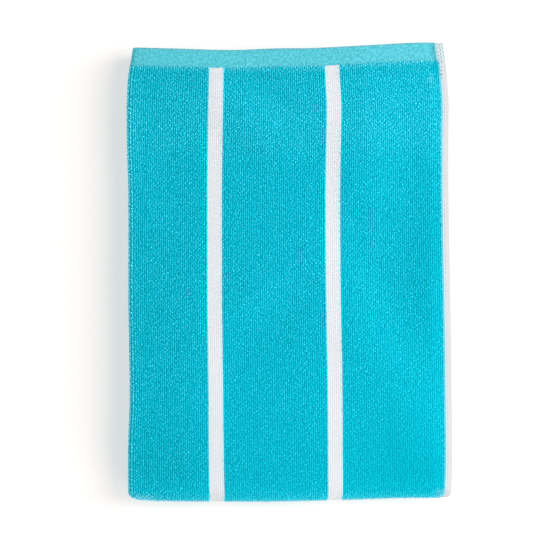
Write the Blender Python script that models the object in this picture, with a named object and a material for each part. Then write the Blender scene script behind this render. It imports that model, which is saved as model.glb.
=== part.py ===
"""A striped terry beach towel, folded for the shelf, as one solid sheet of cloth.

The cloth is folded twice over, the way that a person folds it:

* across its width, in thirds: the inner side edge is tucked between the other two thirds,
  and the outer side edge lies on top, at the right;
* along its length, in half and in half again: both hemmed ends lie at the back, the upper one
  on top, and the whole towel wraps round its front.

That makes 12 layers. The fold is worked out in layer space: x and y are metres in plan, and the
third number counts layers, from 0 under the towel to 12 on top of it. Each direction has its own
list of stations along the cloth, and settle() turns layer space into real heights, lower over
the hems, with the soft creases and the uneven outline of the real towel.

Frame: +Z up, +Y towards the hemmed ends, +X towards the side edge that lies on top. The origin
is at the bottom centre of the folded towel's box. Metres.
"""

from collections import namedtuple

import bmesh
import bpy
import numpy as np

# ---- the cloth before folding
TOWEL_WIDTH = 0.864
TOWEL_LENGTH = 1.626
PILE_THICKNESS = 0.0027
HEM_THICKNESS = 0.0023
END_HEM = 0.0176
SIDE_HEM = 0.0068
HEM_STEP = 0.0030  # the pile falls to the flat hem over this distance
HEM_SETTLE = 0.0120  # layers that lie over a hem come down to it over this distance

# ---- the folded towel
FOLDED_WIDTH = 0.2945
FOLDED_LENGTH = 0.4140
LAYER_GAP = 0.0005
LAYERS = 12
LAYERS_IN_STRIP = 3
SIDE_EDGE_LAYERS = (1, 6, 7, 12)  # the layers of the third that ends in the side edge on top
BACK_FOLD_INSET = 0.0030  # the fold under the hemmed ends lies this far inside the upper one
FRONT_CORE_INSET = 0.0015  # the inner layers stop this short of the outer wrap at the front

# A fold's bulge, as a share of the height of the layers that it turns over.
SIDE_FOLD_BULGE = 1.15
HALF_FOLD_BULGE = 1.10
FRONT_WRAP_BULGE = 0.86
FRONT_WRAP_SQUARENESS = 2.5  # 2 is a round fold, and more is a fuller, squarer one

LAYER = PILE_THICKNESS + LAYER_GAP
FLAT_HALF = PILE_THICKNESS / 2 / LAYER  # half the cloth's thickness, in layers
HALF_WIDTH = FOLDED_WIDTH / 2
HALF_LENGTH = FOLDED_LENGTH / 2

TURQUOISE = (0.004, 0.468, 0.612, 1.0)

# ---- how the towel lies, in millimetres: each row is a place along it
# How far each line that runs front to back is pushed to the right, from front to back. The
# lines are the left fold, the two stripes that show and the right side edge.
LineShift = namedtuple("LineShift", "y left_fold left_stripe right_stripe side_edge")
LINE_SHIFTS = (
    LineShift(-207, 0.1, 2.2, 2.0, 1.4),
    LineShift(-189, -0.2, 1.7, 1.8, 2.2),
    LineShift(-152, 0.0, 1.2, 1.6, 2.5),
    LineShift(-116, 1.4, 0.9, 1.4, 2.2),
    LineShift(-79, 1.1, 0.3, 1.0, 1.9),
    LineShift(-25, 0.2, -0.3, -0.2, 1.0),
    LineShift(30, 0.3, -0.4, -0.6, -0.1),
    LineShift(85, 0.0, -0.4, -0.6, -0.8),
    LineShift(121, -1.2, 0.1, 0.1, -0.8),
    LineShift(158, -1.2, 0.8, 0.3, -0.8),
    LineShift(176, -0.2, 1.1, -0.8, -2.3),
    LineShift(194, 1.6, 1.3, -1.3, -3.9),
    LineShift(207, 3.8, 1.3, -1.4, -5.8),
)
LINE_PLACES = (-147, -68, 40, 147)

# How far the hemmed edge and the front fold are pushed towards the back, from left to right.
EndShift = namedtuple("EndShift", "x hemmed_edge front_fold")
END_SHIFTS = (
    EndShift(-147, 0.7, -0.1),
    EndShift(-100, -0.5, -0.8),
    EndShift(-54, -1.7, -1.3),
    EndShift(-8, -0.1, -1.2),
    EndShift(19, 0.0, -0.5),
    EndShift(47, 1.3, 0.4),
    EndShift(74, 2.7, 1.3),
    EndShift(101, 4.3, 2.3),
    EndShift(120, 5.2, 2.6),
    EndShift(147, 5.2, 1.4),
)

# The strip's four lengths, from the underside up: how far each has slipped, and its turn.
StripLie = namedtuple("StripLie", "layer right back turn_deg")
STRIP_LIES = (
    StripLie(1.5, -0.6, -1.0, 0.18),
    StripLie(4.5, 0.9, 0.6, -0.12),
    StripLie(7.5, -0.9, -0.8, 0.10),
    StripLie(10.5, 0.0, 0.0, 0.0),
)
UNDERSIDE_FOLLOWS = 0.6  # share of the top's outline that the underside takes up

# Soft creases and swells of the top, in millimetres: centre, length, width, turn from the x
# axis and height, which is negative in a trough.
Crease = namedtuple("Crease", "x y length width turn_deg rise")
CREASES = (
    Crease(64, 95, 170, 60, 90, 2.0),
    Crease(106, 80, 170, 60, 90, -2.0),
    Crease(51, -52, 150, 56, 116, 2.0),
    Crease(90, -33, 160, 52, 116, -2.2),
    Crease(104, -140, 90, 50, 96, 1.4),
    Crease(-121, 88, 130, 46, 96, -1.2),
    Crease(-96, -105, 210, 62, 90, 2.4),
    Crease(-44, 130, 90, 42, 133, 1.7),
    Crease(-21, 156, 90, 42, 133, -1.6),
    Crease(-34, -10, 95, 40, 45, 1.2),
    Crease(-14, -34, 95, 40, 45, -1.2),
    Crease(4, -54, 70, 44, 90, 0.9),
)
FRONT_SWELL = 0.045  # near its front the towel stands this share higher than in the middle
FRONT_CREST = 0.042  # from the front edge back to where it is highest
SWELL_REACH = 0.045
LEFT_CORNER_RADIUS = 0.0085  # of the front corners, seen from above
RIGHT_CORNER_RADIUS = 0.0045
CORNER_REACH = 0.030  # the rounding fades out over this distance in from the side

# ---- stations along the cloth
ROUND_STEPS = 10
SMALL_ROUND_STEPS = 6
WIDE_PLACES = (-116, -80, -36, 16, 62, 104)
LONG_PLACES = (-150, -100, -50, 0, 50, 98, 142)
SHARP_ANGLE_DEG = 50  # edges that turn more than this are shaded as sharp

# A station is a place along the cloth: where its middle is, and which way it moves for one
# layer of thickness. In the strip's section that is x and layer. Along the strip it is y and
# layer, and it moves with the layer of the strip that the cloth is in.
Station = namedtuple("Station", "place layer place_step layer_step")


def mm(value):
    """Millimetres as metres."""
    return value * 0.001


def run(places, layer, step):
    """Stations of a flat length of cloth that lies on one layer."""
    return [Station(place, layer, 0.0, step) for place in places]


def rounded(angle, squareness):
    """Sine and cosine of an angle on a circle that is pressed towards a square."""
    sine, cosine = np.sin(angle), np.cos(angle)
    reach = (abs(sine) ** squareness + abs(cosine) ** squareness) ** (-1 / squareness)
    return sine * reach, cosine * reach


def fold(centre, radius, way, side, step, steps, squareness=2.0):
    """Stations of a fold, without its two ends.

    centre is (place, layer). radius is (layers at the middle, layers for one step of
    thickness). way is +1 from the lower layer to the upper one, and -1 the other way. side is
    +1 for a fold that bulges towards larger places. step is the bulge in metres for one layer.
    """
    place, layer = centre
    base, growth = radius
    stations = []
    for angle in np.linspace(0.0, np.pi, steps + 1)[1:-1]:
        out, along = rounded(angle, squareness)
        out, along = side * step * out, -way * along
        stations.append(
            Station(place + base * out, layer + base * along, growth * out, growth * along)
        )
    return stations


def lengths(stations, height, at=0.0):
    """Distance of each station from the first, along the cloth, with layers of that height."""
    points = np.array(
        [
            (s.place + at * s.place_step, height * (s.layer + at * s.layer_step))
            for s in stations
        ]
    )
    steps = np.linalg.norm(np.diff(points, axis=0), axis=1)
    return np.concatenate([[0.0], np.cumsum(steps)])


def hem_places(edge, width, inward):
    """Three places at a hem: the edge, and both ends of the step up to the pile."""
    return [edge, edge + inward * (width - HEM_STEP / 2), edge + inward * (width + HEM_STEP / 2)]


def across_the_width():
    """Stations of the section in thirds, from the tucked side edge to the one on top.

    All three layers have the same places, so that none cuts into the next. The right fold
    turns under the flat of the hem.
    """
    bulge = SIDE_FOLD_BULGE * LAYER
    left = -HALF_WIDTH + (1 + FLAT_HALF) * bulge
    edge, right, pile_edge = hem_places(HALF_WIDTH, SIDE_HEM, -1)
    middle = [*map(mm, WIDE_PLACES), HALF_WIDTH - SIDE_HEM - HEM_SETTLE, pile_edge, right]
    right_fold = fold((right, 1.0), (0.5, 1.0), -1, 1, bulge, SMALL_ROUND_STEPS)
    left_fold = fold((left, 1.5), (1.0, 1.0), 1, -1, bulge, SMALL_ROUND_STEPS)
    lower = run([*middle[::-1], left], 0.5, -1)
    upper = run([left, *middle, edge], 2.5, 1)
    used = lengths([Station(right, 1.5, 0.0, 1.0), *right_fold, *lower, *left_fold, *upper], LAYER)
    tucked_edge = right - (TOWEL_WIDTH - used[-1])
    tucked_hem = hem_places(tucked_edge, SIDE_HEM, 1)
    inner = run([*tucked_hem, *[p for p in middle if p > tucked_hem[-1] + SIDE_HEM]], 1.5, 1)
    return inner + right_fold + lower + left_fold + upper


def along_the_length():
    """Stations along the strip, from the hemmed end on top to the one below it."""
    wrap, half = FRONT_WRAP_BULGE * LAYER, HALF_FOLD_BULGE * LAYER
    top = LAYERS / 2 + LAYERS_IN_STRIP
    front = -HALF_LENGTH + (LAYERS / 2 - 0.5 + FLAT_HALF) * wrap
    core = -HALF_LENGTH + LAYERS_IN_STRIP * (wrap + half) + FRONT_CORE_INSET
    back = HALF_LENGTH - BACK_FOLD_INSET - LAYERS_IN_STRIP * half
    middle = [*map(mm, LONG_PLACES), HALF_LENGTH - END_HEM - HEM_SETTLE]
    upper_hem = hem_places(HALF_LENGTH, END_HEM, -1)
    highest = run([*upper_hem, *middle[::-1], front], top, 1)
    wrap_fold = fold(
        (front, LAYERS / 2), (3.0, 1.0), -1, -1, wrap, ROUND_STEPS, FRONT_WRAP_SQUARENESS
    )
    lowest = run([front, *middle, back], LAYERS_IN_STRIP, -1)
    back_fold = fold((back, LAYERS_IN_STRIP), (0.0, 1.0), 1, 1, half, SMALL_ROUND_STEPS)
    second = run([back, *middle[::-1], core], LAYERS_IN_STRIP, 1)
    core_fold = fold((core, LAYERS / 2), (3.0, -1.0), 1, -1, half, SMALL_ROUND_STEPS)
    used = lengths(
        [*highest, *wrap_fold, *lowest, *back_fold, *second, *core_fold, Station(core, top, 0, -1)],
        LAYER,
        LAYERS_IN_STRIP / 2,
    )
    lower_edge = core + TOWEL_LENGTH - used[-1]
    lower_hem = sorted([*hem_places(lower_edge, END_HEM, -1), *upper_hem[1:]])
    third = run([core, *middle, *lower_hem], top, -1)
    return highest + wrap_fold + lowest + back_fold + second + core_fold + third


def ease(share):
    """A smooth rise from 0 to 1 as share goes from 0 to 1."""
    share = np.clip(share, 0.0, 1.0)
    return share * share * (3.0 - 2.0 * share)


def hem_share(from_edge, width, settle=0.0):
    """1 on the flat hem and 0 on the pile, at a distance in from the cloth's edge.

    With settle, the change ends where the hem does and begins that far away on the pile.
    """
    if settle:
        return 1.0 - ease((from_edge - width) / settle)
    return 1.0 - ease((from_edge - width) / HEM_STEP + 0.5)


def curve_through(at, places, values):
    """Smooth curve through a short table: cubics whose slopes are those of their neighbours."""
    places, values = np.asarray(places, float), np.asarray(values, float)
    slopes = np.gradient(values, places)
    at = np.clip(at, places[0], places[-1])
    k = np.clip(np.searchsorted(places, at, side="right") - 1, 0, len(places) - 2)
    span = places[k + 1] - places[k]
    t = (at - places[k]) / span
    rise = values[k + 1] - values[k]
    start, end = slopes[k] * span, slopes[k + 1] * span
    return values[k] + t * start + t * t * (3 * rise - 2 * start - end) + t**3 * (start + end - 2 * rise)


def layer_heights(x, y):
    """Height of each of the 12 layers at places in plan, less where hems lie in the stack.

    The top layer steps down sharply at its own hems. The others ease down to theirs.
    """
    heights = []
    for number in range(1, LAYERS + 1):
        settle = 0.0 if number == LAYERS else HEM_SETTLE
        hem = np.zeros_like(x)
        if number > LAYERS / 2:
            hem = np.maximum(hem, hem_share(HALF_LENGTH - y, END_HEM, settle))
        if number in SIDE_EDGE_LAYERS:
            hem = np.maximum(hem, hem_share(HALF_WIDTH - x, SIDE_HEM, settle))
        heights.append(LAYER - (PILE_THICKNESS - HEM_THICKNESS) * hem)
    return heights


def stack_height(layer, heights):
    """Height of a layer number over the floor, adding up the layers below it."""
    parts = [h * np.clip(layer - number, 0.0, 1.0) for number, h in enumerate(heights)]
    return np.sum(parts, axis=0)


def swell(x, y):
    """Height of the top as a share of its even height: creases, and the swell at the front."""
    total = np.ones_like(x)
    for crease in CREASES:
        turn = np.radians(crease.turn_deg)
        from_x, from_y = x - mm(crease.x), y - mm(crease.y)
        along = (from_x * np.cos(turn) + from_y * np.sin(turn)) / mm(crease.length / 2)
        across = (from_y * np.cos(turn) - from_x * np.sin(turn)) / mm(crease.width / 2)
        total += mm(crease.rise) / (LAYERS * LAYER) * np.exp(-(along**2) - across**2)
    front = (y + HALF_LENGTH - FRONT_CREST) / SWELL_REACH
    return total + FRONT_SWELL * np.exp(-(front**2))


def corner_inset(out, y, radius):
    """How far the front corner on one side draws in: a quarter circle in plan. out is x or -x."""
    beyond = np.clip((-HALF_LENGTH + radius - y) / radius, 0.0, 1.0)
    return radius * (1.0 - np.sqrt(1.0 - beyond**2)) * ease((out - HALF_WIDTH) / CORNER_REACH + 1.0)


def lie(x, y, layer):
    """Plan position of places in layer space, with the towel's uneven outline."""
    line_names = LineShift._fields[1:]
    rows = [row.y for row in LINE_SHIFTS]
    across = np.zeros_like(x)
    for k, name in enumerate(line_names):
        near = np.interp(x * 1000, LINE_PLACES, np.eye(len(line_names))[k])
        across += near * curve_through(y * 1000, rows, [getattr(r, name) for r in LINE_SHIFTS])
    places = [row.x for row in END_SHIFTS]
    hemmed = curve_through(x * 1000, places, [row.hemmed_edge for row in END_SHIFTS])
    folded = curve_through(x * 1000, places, [row.front_fold for row in END_SHIFTS])
    back_share = np.clip((y + HALF_LENGTH) / FOLDED_LENGTH, 0.0, 1.0)
    along = back_share * hemmed + (1.0 - back_share) * folded
    follows = UNDERSIDE_FOLLOWS + (1.0 - UNDERSIDE_FOLLOWS) * layer / LAYERS
    layers = [row.layer for row in STRIP_LIES]
    right = curve_through(layer, layers, [row.right for row in STRIP_LIES])
    back = curve_through(layer, layers, [row.back for row in STRIP_LIES])
    turn = np.radians(curve_through(layer, layers, [row.turn_deg for row in STRIP_LIES]))
    corners = corner_inset(-x, y, LEFT_CORNER_RADIUS) - corner_inset(x, y, RIGHT_CORNER_RADIUS)
    new_x = x + mm(follows * across + right) + corners - turn * y
    new_y = y + mm(follows * along + back) + turn * x
    return new_x, new_y


def settle(x, y, layer):
    """Real position of places in layer space. The lowest face of the cloth is flat, at zero."""
    heights = layer_heights(x, y)
    lowest = stack_height(np.full_like(x, 0.5 - FLAT_HALF), heights)
    new_x, new_y = lie(x, y, layer)
    return new_x, new_y, swell(x, y) * (stack_height(layer, heights) - lowest)


def cloth_points():
    """Points of both faces of the cloth: arrays of back and face, across by along, by 3."""
    section, strip = across_the_width(), along_the_length()
    x0, level0, x_step, level_step = (np.array(c)[:, None] for c in zip(*section))
    y0, layer0, y_step, layer_step = (np.array(c)[None, :] for c in zip(*strip))
    from_tuck = lengths(section, LAYER)[:, None]
    from_end = lengths(strip, LAYER, LAYERS_IN_STRIP / 2)[None, :]
    hem = np.maximum(
        hem_share(np.minimum(from_tuck, TOWEL_WIDTH - from_tuck), SIDE_HEM),
        hem_share(np.minimum(from_end, TOWEL_LENGTH - from_end), END_HEM),
    )
    thickness = PILE_THICKNESS - (PILE_THICKNESS - HEM_THICKNESS) * hem
    # The cloth is pressed thinner where its layer has less room than that.
    x_middle, y_middle = x0 + 0 * y0, y0 + level0 * y_step
    middle_layer = layer0 + level0 * layer_step
    heights = layer_heights(x_middle, y_middle)
    room = stack_height(middle_layer + 0.5, heights) - stack_height(middle_layer - 0.5, heights)
    half_layer = np.minimum(thickness, room - LAYER_GAP) / 2 / room
    faces = []
    for side in (-1, 1):
        out = side * half_layer
        level = level0 + level_step * out
        x = x0 + x_step * out
        y, layer = y0 + y_step * level, layer0 + layer_step * level
        faces.append(np.stack(settle(x, y, layer), axis=-1))
    return np.array(faces)


def cell_triangles(corners, plan):
    """The two triangles of each four-cornered cell, cut the same way in plan in every layer.

    corners are the point numbers at (0, 0), (1, 0), (1, 1) and (0, 1), with the first step
    across the width. A cell that folding has turned over is cut along its other diagonal.
    """
    a, b, c, d = corners
    across, along = plan[b] - plan[a], plan[d] - plan[a]
    turned = (across[:, 0] > 0) != (along[:, 1] > 0)
    first = np.where(turned[:, None], np.stack([a, b, d], 1), np.stack([a, b, c], 1))
    second = np.where(turned[:, None], np.stack([b, c, d], 1), np.stack([a, c, d], 1))
    return np.concatenate([first, second])


def cloth_mesh(points):
    """A closed mesh from the points of both faces, with a strip of faces round the edge."""
    sides, wide, long = points.shape[:3]
    flat = points.reshape(-1, 3)
    number = np.arange(sides * wide * long).reshape(sides, wide, long)
    triangles = []
    for side, grid in enumerate(number):
        corners = [grid[:-1, :-1], grid[1:, :-1], grid[1:, 1:], grid[:-1, 1:]]
        cells = cell_triangles([c.ravel() for c in corners], flat)
        triangles.append(cells if side else cells[:, ::-1])
    rim = [np.concatenate([g[:, 0], g[-1, 1:], g[-2::-1, -1], g[0, -2::-1]]) for g in number]
    below, above = rim
    triangles.append(np.stack([below[:-1], below[1:], above[1:]], 1))
    triangles.append(np.stack([below[:-1], above[1:], above[:-1]], 1))
    mesh = bpy.data.meshes.new("towel")
    mesh.from_pydata(flat.tolist(), [], np.concatenate(triangles).tolist())
    return mesh


def centred(points):
    """The points moved so that their box stands on the origin, about its middle."""
    low, high = points.reshape(-1, 3).min(axis=0), points.reshape(-1, 3).max(axis=0)
    return points - np.array([(low[0] + high[0]) / 2, (low[1] + high[1]) / 2, low[2]])


def terry():
    """Turquoise cotton terry."""
    material = bpy.data.materials.new("terry")
    material.use_nodes = True
    surface = material.node_tree.nodes["Principled BSDF"]
    surface.inputs["Base Color"].default_value = TURQUOISE
    surface.inputs["Roughness"].default_value = 0.95
    surface.inputs["Metallic"].default_value = 0.0
    return material


def main():
    for old in list(bpy.data.objects):
        bpy.data.objects.remove(old)
    mesh = cloth_mesh(centred(cloth_points()))
    shape = bmesh.new()
    shape.from_mesh(mesh)
    bmesh.ops.recalc_face_normals(shape, faces=shape.faces)
    shape.to_mesh(mesh)
    shape.free()
    mesh.shade_smooth()
    mesh.set_sharp_from_angle(angle=np.radians(SHARP_ANGLE_DEG))
    towel = bpy.data.objects.new("towel", mesh)
    towel.data.materials.append(terry())
    bpy.context.scene.collection.objects.link(towel)


main()
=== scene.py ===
"""A folded terry beach towel: its cloth, the loops of its pile, its stitching and a plain stage.

The towel lies on the floor, folded in thirds across its width and in quarters along its length.
Its solid comes in from model.glb. The cloth here follows the same folds, worked out from the
same sizes, and the finish goes on top of it: loops that stand in ribs, flat hems and stitches.

Frame: +Z up, +Y towards the hemmed ends, +X towards the side edge that lies on top. Metres.
"""

from collections import namedtuple

import bpy
import numpy as np
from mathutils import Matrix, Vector


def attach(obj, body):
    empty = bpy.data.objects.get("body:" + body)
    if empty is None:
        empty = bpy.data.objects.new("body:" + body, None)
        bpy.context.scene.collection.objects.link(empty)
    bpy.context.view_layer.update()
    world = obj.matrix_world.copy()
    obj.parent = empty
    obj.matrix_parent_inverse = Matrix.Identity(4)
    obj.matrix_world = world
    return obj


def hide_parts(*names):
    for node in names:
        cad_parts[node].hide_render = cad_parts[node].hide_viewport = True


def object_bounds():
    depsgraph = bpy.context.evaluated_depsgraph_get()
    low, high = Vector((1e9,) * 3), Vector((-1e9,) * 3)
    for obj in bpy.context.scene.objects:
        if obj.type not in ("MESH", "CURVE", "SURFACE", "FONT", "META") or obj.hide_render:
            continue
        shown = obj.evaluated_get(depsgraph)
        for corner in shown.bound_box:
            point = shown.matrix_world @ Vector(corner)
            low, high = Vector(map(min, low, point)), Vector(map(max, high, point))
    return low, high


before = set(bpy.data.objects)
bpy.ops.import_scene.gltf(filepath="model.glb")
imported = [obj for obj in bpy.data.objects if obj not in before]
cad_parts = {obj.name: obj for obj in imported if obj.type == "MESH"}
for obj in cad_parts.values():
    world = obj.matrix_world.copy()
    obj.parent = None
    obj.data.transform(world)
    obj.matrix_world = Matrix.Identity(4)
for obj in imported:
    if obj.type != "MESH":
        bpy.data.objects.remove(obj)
SOLID_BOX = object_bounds()

bl_info = {
    "name": "Folded beach towel",
    "version": (1, 0, 0),
    "blender": (4, 5, 0),
    "location": "View3D > Sidebar > Towel",
    "description": "Makes a folded, striped terry beach towel and a plain stage for it",
    "category": "Add Mesh",
}

# ---- the folded towel, as its solid has it
FOLDED_WIDTH = 0.2945
FOLDED_LENGTH = 0.4140
LAYER_GAP = 0.0005
LAYERS = 12
LAYERS_IN_STRIP = 3
SIDE_EDGE_LAYERS = (1, 6, 7, 12)  # the layers of the third that ends in the side edge on top
BACK_FOLD_INSET = 0.0030
FRONT_CORE_INSET = 0.0015
SIDE_FOLD_BULGE = 1.15  # how far the folds bulge out, against a half circle
HALF_FOLD_BULGE = 1.10
FRONT_WRAP_BULGE = 0.86
FRONT_WRAP_SQUARENESS = 2.5
HEM_STEP = 0.0030
HEM_SETTLE = 0.0120
HALF_WIDTH = FOLDED_WIDTH / 2
HALF_LENGTH = FOLDED_LENGTH / 2
FRONT_SWELL = 0.045  # how much higher the crest at the front is, as a share of the height
FRONT_CREST = 0.042  # from the front fold
SWELL_REACH = 0.045
LEFT_CORNER_RADIUS = 0.0085
RIGHT_CORNER_RADIUS = 0.0045
CORNER_REACH = 0.030
UNDERSIDE_FOLLOWS = 0.6  # how much of the shifts below the underside takes

# How far each line that runs front to back is pushed to the right, in millimetres.
LineShift = namedtuple("LineShift", "y left_fold left_stripe right_stripe side_edge")
LINE_SHIFTS = (
    LineShift(-207, 0.1, 2.2, 2.0, 1.4),
    LineShift(-189, -0.2, 1.7, 1.8, 2.2),
    LineShift(-152, 0.0, 1.2, 1.6, 2.5),
    LineShift(-116, 1.4, 0.9, 1.4, 2.2),
    LineShift(-79, 1.1, 0.3, 1.0, 1.9),
    LineShift(-25, 0.2, -0.3, -0.2, 1.0),
    LineShift(30, 0.3, -0.4, -0.6, -0.1),
    LineShift(85, 0.0, -0.4, -0.6, -0.8),
    LineShift(121, -1.2, 0.1, 0.1, -0.8),
    LineShift(158, -1.2, 0.8, 0.3, -0.8),
    LineShift(176, -0.2, 1.1, -0.8, -2.3),
    LineShift(194, 1.6, 1.3, -1.3, -3.9),
    LineShift(207, 3.8, 1.3, -1.4, -5.8),
)
LINE_PLACES = (-147, -68, 40, 147)  # where these lines lie, from left to right

# How far the hemmed edge and the front fold are pushed towards the back, in millimetres.
EndShift = namedtuple("EndShift", "x hemmed_edge front_fold")
END_SHIFTS = (
    EndShift(-147, 0.7, -0.1),
    EndShift(-100, -0.5, -0.8),
    EndShift(-54, -1.7, -1.3),
    EndShift(-8, -0.1, -1.2),
    EndShift(19, 0.0, -0.5),
    EndShift(47, 1.3, 0.4),
    EndShift(74, 2.7, 1.3),
    EndShift(101, 4.3, 2.3),
    EndShift(120, 5.2, 2.6),
    EndShift(147, 5.2, 1.4),
)

# How far each of the strip's four lengths has slipped, in millimetres, and its turn.
StripLie = namedtuple("StripLie", "layer right back turn_deg")
STRIP_LIES = (
    StripLie(1.5, -0.6, -1.0, 0.18),
    StripLie(4.5, 0.9, 0.6, -0.12),
    StripLie(7.5, -0.9, -0.8, 0.10),
    StripLie(10.5, 0.0, 0.0, 0.0),
)

# Soft creases and swells of the top, in millimetres. A trough has a negative rise.
Crease = namedtuple("Crease", "x y length width turn_deg rise")
CREASES = (
    Crease(64, 95, 170, 60, 90, 2.0),
    Crease(106, 80, 170, 60, 90, -2.0),
    Crease(51, -52, 150, 56, 116, 2.0),
    Crease(90, -33, 160, 52, 116, -2.2),
    Crease(104, -140, 90, 50, 96, 1.4),
    Crease(-121, 88, 130, 46, 96, -1.2),
    Crease(-96, -105, 210, 62, 90, 2.4),
    Crease(-44, 130, 90, 42, 133, 1.7),
    Crease(-21, 156, 90, 42, 133, -1.6),
    Crease(-34, -10, 95, 40, 45, 1.2),
    Crease(-14, -34, 95, 40, 45, -1.2),
    Crease(4, -54, 70, 44, 90, 0.9),
)

# ---- how fine the cloth's surface is
RUN_STEP = 0.0115
SETTLE_PARTS = 4
STEP_PARTS = 3
SIDE_FOLD_STEPS = 10
HALF_FOLD_STEPS = 12
WRAP_STEPS = 20
EDGE_RADIUS = 0.0010
EDGE_PARTS = 4
EDGE_ROLL = 0.985  # how far round its edge the cloth is drawn, as a share of the radius

# ---- the loops
FLOOR_CLEARANCE = 0.0002  # loops and stitches that would reach lower are left out
PILE_INSET = 0.0002  # the loops begin this far in from the side hem
PILE_OVERHANG = 0.0008  # and reach this far over the end hem
OWN_NUMBERS = 8  # random numbers that each loop has, for its place, size, lean and lightness
RIB_WANDER = 0.00012  # how far a rib winds to the side, and each of its loops by itself
RIB_JITTER = 0.00014
ROW_JITTER = 0.12  # how far a loop lies from its row, as a share of the rows' pitch
RISE_LIMITS = (0.45, 1.7)  # of a loop's own rise, width and length, against the usual ones
WIDTH_LIMITS = (0.7, 1.35)
LENGTH_LIMITS = (0.7, 1.5)
LEAN_SIDE = 0.8  # how far a loop's own lean goes to the side, and ahead
LEAN_AHEAD = 0.9
LEAN_SLOW = 0.5  # how far the nap's slow changes lean it to the side
TONE_LIMIT = 2.0  # of a loop's own lightness
TONE_SLOW = 0.25  # how far the nap's slow changes make it lighter
WANDER_CELL, LEAN_CELL, TONE_CELL = 0.030, 0.017, 0.006  # how slow those changes are
# How much more uneven the pile gets, as a share, for each metre to the right and towards the
# back, and the places where it is ruffled.
ROUGHER = (-2.3, 1.2)
RuffledPlace = namedtuple("RuffledPlace", "x y reach_x reach_y more")
RUFFLED_PLACES = (
    RuffledPlace(0.112, 0.030, 0.020, 0.070, 0.50),
    RuffledPlace(-0.127, -0.175, 0.060, 0.022, 0.50),
    RuffledPlace(-0.127, 0.000, 0.050, 0.050, 0.20),
)
RIB_CLOSING = 0.5  # how much wider the loops are where the pile is even
WHITE_RISE = 0.40  # of the loops in the white ribs, against the others
WHITE_WIDTH = 1.65
WHITE_ROUNDNESS = 0.12  # how far their shading turns outwards
WHITE_EVENNESS = 0.10  # how much of the others' differences in lightness they have
WHITE_JITTER = 0.35  # and of their differences in size and lean
FOLD_PRESSED = 0.5  # how much lower the loops are on the side folds

# ---- how pale the pile is, as a share of white, and how much lighter, as a share of its colour:
# painted sheen and light at the side folds and front wrap, painted shade at the wrap's edge,
# paler and lighter next to the end hem, paler with painted shade next to the side hem, and
# painted sheen and light on the back of the top.
FACES_DOWN = 0.7  # what faces down further than this, as a sine, keeps its shade
# Painted sheen on the side folds and at the front wrap's edge, painted light on the folds, and
# painted shade where the wrap curves under.
SIDE_FOLD_PALE = 0.09
WRAP_PALE = 0.22
WRAP_POWER = 4
FOLD_LIGHT = 0.40
SHOULDER_LIGHT = 0.45  # painted light on the left fold, where it has turned this far over, as a sine
SHOULDER = (-0.62, 0.26)
WRAP_LIGHT = -0.45
LEFT_LIGHT = 0.14  # painted light next to the left fold
LEFT_REACH = 0.015
END_PALE = 0.10
END_LIGHT = 0.12
END_REACH = 0.0060
# Paler next to the side hem, with painted shade.
SIDE_PALE = 0.30
SIDE_LIGHT = -0.20
SIDE_REACH = 0.0035
BACK_LINE = 0.108  # the part with painted sheen and light begins at this place, front to back
BACK_EASE = 0.020
BACK_SHEEN = 0.013
BACK_LIGHT = 0.02
PAINTED_LIGHT_TILT = 0.20  # painted light: how much lighter the pile is for each metre towards the back
PAINTED_LIGHT_BAND = (0.140, 0.026, 0.06)  # place, reach and lightness of a band of painted light
# Places of the top with painted light and shade, and pale places, part wear, part painted
# highlight.
WearAndLightPlace = namedtuple("WearAndLightPlace", "x y reach_x reach_y pale light")
WEAR_AND_LIGHT_PLACES = (
    WearAndLightPlace(-0.135, -0.207, 0.012, 0.004, 0.22, 0.0),
    WearAndLightPlace(0.130, 0.176, 0.003, 0.004, 0.12, 0.12),
    WearAndLightPlace(0.138, -0.202, 0.004, 0.004, 0.20, 0.1),
    WearAndLightPlace(0.134, 0.189, 0.003, 0.010, 0.0, -0.3),
    WearAndLightPlace(-0.008, -0.010, 0.045, 0.038, 0.0, 0.05),
    WearAndLightPlace(0.126, 0.020, 0.016, 0.075, 0.0, -0.07),
    WearAndLightPlace(0.120, -0.185, 0.045, 0.040, 0.0, -0.10),
    WearAndLightPlace(-0.115, -0.020, 0.050, 0.220, -0.005, 0.07),
)

# ---- columns of a path through the cloth's folds: each row is a place along it
Path = namedtuple("Path", "rows distance")
PLACE, LAYER_NUMBER, PLACE_STEP, LAYER_STEP = range(4)


def mm(value):
    """Millimetres as metres."""
    return value * 0.001


# ================================================================================ settings
def length(name, description, default):
    """A property that holds a length in metres."""
    return amount(name, description, default, min=0.0, subtype="DISTANCE", unit="LENGTH")


def colour(name, description, default):
    """A property that holds a linear colour."""
    return bpy.props.FloatVectorProperty(
        name=name,
        description=description,
        default=default,
        size=3,
        min=0.0,
        max=1.0,
        subtype="COLOR",
    )


def amount(name, description, default, **limits):
    """A property that holds a plain number."""
    return bpy.props.FloatProperty(name=name, description=description, default=default, **limits)


def whole(name, description, default):
    """A property that holds a whole number."""
    return bpy.props.IntProperty(name=name, description=description, default=default, min=1)


class TowelCloth(bpy.types.PropertyGroup):
    """Sizes of the flat cloth."""

    width: length("Width", "Flat width, from side edge to side edge", 0.864)
    length: length("Length", "Flat length, from hemmed end to hemmed end", 1.626)
    pile_thickness: length("Pile thickness", "Both faces' loops and their ground", 0.0027)
    hem_thickness: length("Hem thickness", "The flat hems at the ends and sides", 0.0023)
    end_hem: length("End hem", "Width of the flat band at each end", 0.0176)
    side_hem: length("Side hem", "Width of the white strip at each side", 0.0068)


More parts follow.
